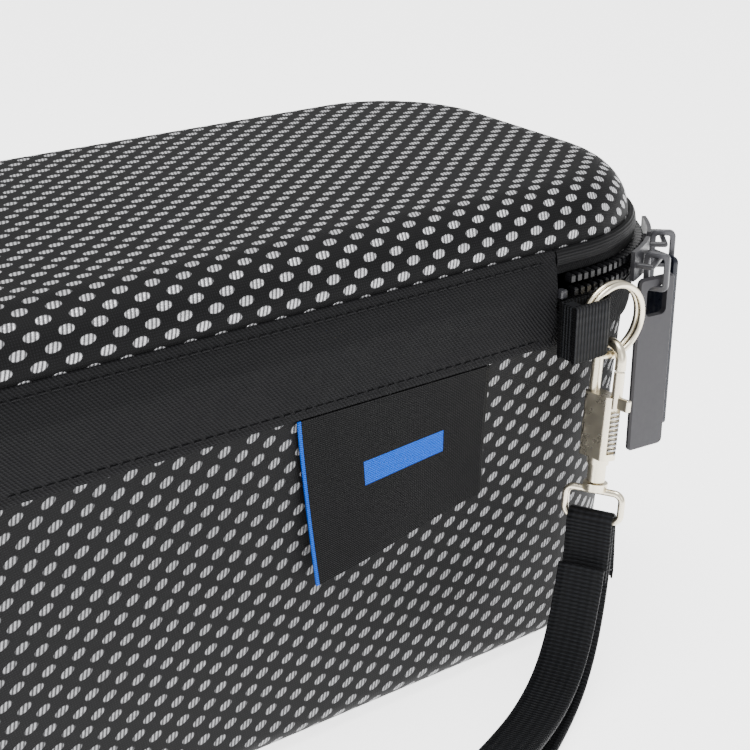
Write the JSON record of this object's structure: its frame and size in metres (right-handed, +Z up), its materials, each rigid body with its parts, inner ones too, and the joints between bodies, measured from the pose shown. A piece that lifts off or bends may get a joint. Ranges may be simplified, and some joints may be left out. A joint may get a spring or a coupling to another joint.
{
  "type": "zip carry case for a portable launch monitor",
  "caption": "Moulded zip carry case for a portable golf launch monitor, dotted black fabric, with woven label, ring, snap hook and wrist strap.",
  "frame": {"origin": "under the middle of the case, on the surface it stands on", "axes": "+X along the long side, -Y out of the front with the hinge band, ring and label, +Z up"},
  "size_m": [0.2012, 0.1717, 0.107],
  "materials": {
    "dotted_fabric": "woven, matt black with light dots",
    "eva_foam": "matt moulded foam",
    "lining_cloth": "brushed knit",
    "insert_foam": "open-cell foam",
    "twill": "fine twill",
    "binding": "smooth satin binding",
    "zip_tape": "woven tape",
    "zip_teeth": "moulded teeth",
    "slider_metal": "grey lacquer",
    "pull_metal": "matt black lacquer",
    "webbing": "ribbed webbing",
    "plated_metal": "pale nickel plate",
    "spring_steel": "bare wire",
    "label_weave": "woven satin",
    "pocket_mesh": "open net",
    "elastic": "ribbed elastic"
  },
  "bodies": {
    "base": {"base_outer_fabric": "dotted_fabric", "base_eva_shell": "eva_foam", "base_lining": "lining_cloth", "foam_floor": "insert_foam", "foam_left": "insert_foam", "foam_right": "insert_foam", "foam_front": "insert_foam", "foam_back": "insert_foam", "hinge_band_lower": "twill", "zip_gusset": "twill", "zip_tape_lower": "zip_tape", "zip_teeth_lower": "zip_teeth", "zip_end_stops": "zip_teeth", "ring_tab": "webbing", "woven_label": "label_weave"},
    "lid": {"lid_outer_fabric": "dotted_fabric", "lid_eva_shell": "eva_foam", "lid_lining": "lining_cloth", "lid_pocket_mesh": "pocket_mesh", "lid_pocket_elastic": "elastic", "hinge_band_upper": "twill", "lid_binding": "binding", "zip_tape_upper": "zip_tape", "zip_teeth_upper": "zip_teeth"},
    "slider_near": {"slider_near": "slider_metal"},
    "slider_far": {"slider_far": "slider_metal"},
    "pull_near": {"pull_near_link": "slider_metal", "pull_near_plate": "pull_metal"},
    "pull_far": {"pull_far_link": "slider_metal", "pull_far_plate": "pull_metal"},
    "ring": {"split_ring": "plated_metal"},
    "hook": {"hook_body": "plated_metal", "gate_spring": "spring_steel"},
    "gate": {"hook_gate": "plated_metal"},
    "swivel": {"swivel_loop": "plated_metal", "wrist_strap": "webbing"}
  },
  "joints": [
    {"name": "lid_hinge", "type": "hinge", "parent": "base", "child": "lid", "pos_m": [0, -0.056, 0.0895], "axis": [1, 0, 0], "range_deg": [0, 100]},
    {"name": "slider_near_travel", "type": "hinge", "parent": "base", "child": "slider_near", "pos_m": [0.064, -0.016, 0.0895], "axis": [0, 0, 1], "range_deg": [-2, 0]},
    {"name": "slider_far_travel", "type": "hinge", "parent": "base", "child": "slider_far", "pos_m": [0.064, -0.016, 0.0895], "axis": [0, 0, 1], "range_deg": [0, 34]},
    {"name": "pull_near_swing", "type": "hinge", "parent": "slider_near", "child": "pull_near", "pos_m": [0.0845, -0.05151, 0.0895], "axis": [0.866, 0.5, 0], "range_deg": [-110, 0]},
    {"name": "pull_far_swing", "type": "hinge", "parent": "slider_far", "child": "pull_far", "pos_m": [0.09609, -0.04152, 0.0895], "axis": [0.6225, 0.7826, 0], "range_deg": [-110, 0]},
    {"name": "ring_turn", "type": "hinge", "parent": "base", "child": "ring", "pos_m": [0.07, -0.0541, 0.0806], "axis": [0, 1, 0], "continuous": true},
    {"name": "hook_swing", "type": "hinge", "parent": "base", "child": "hook", "pos_m": [0.07, -0.0541, 0.073], "axis": [-1, 0, 0], "range_deg": [0, 35]},
    {"name": "gate_slide", "type": "slide", "parent": "hook", "child": "gate", "axis": [-0.1504, -0.0868, -0.9848], "range_m": [0, 0.0038], "stiffness_N_per_m": 120, "springref_m": -0.003, "deforming": ["gate_spring"]},
    {"name": "swivel_turn", "type": "hinge", "parent": "hook", "child": "swivel", "pos_m": [0.07, -0.0541, 0.073], "axis": [0.1504, 0.0868, 0.9848], "range_deg": [-15, 110]}
  ]
}
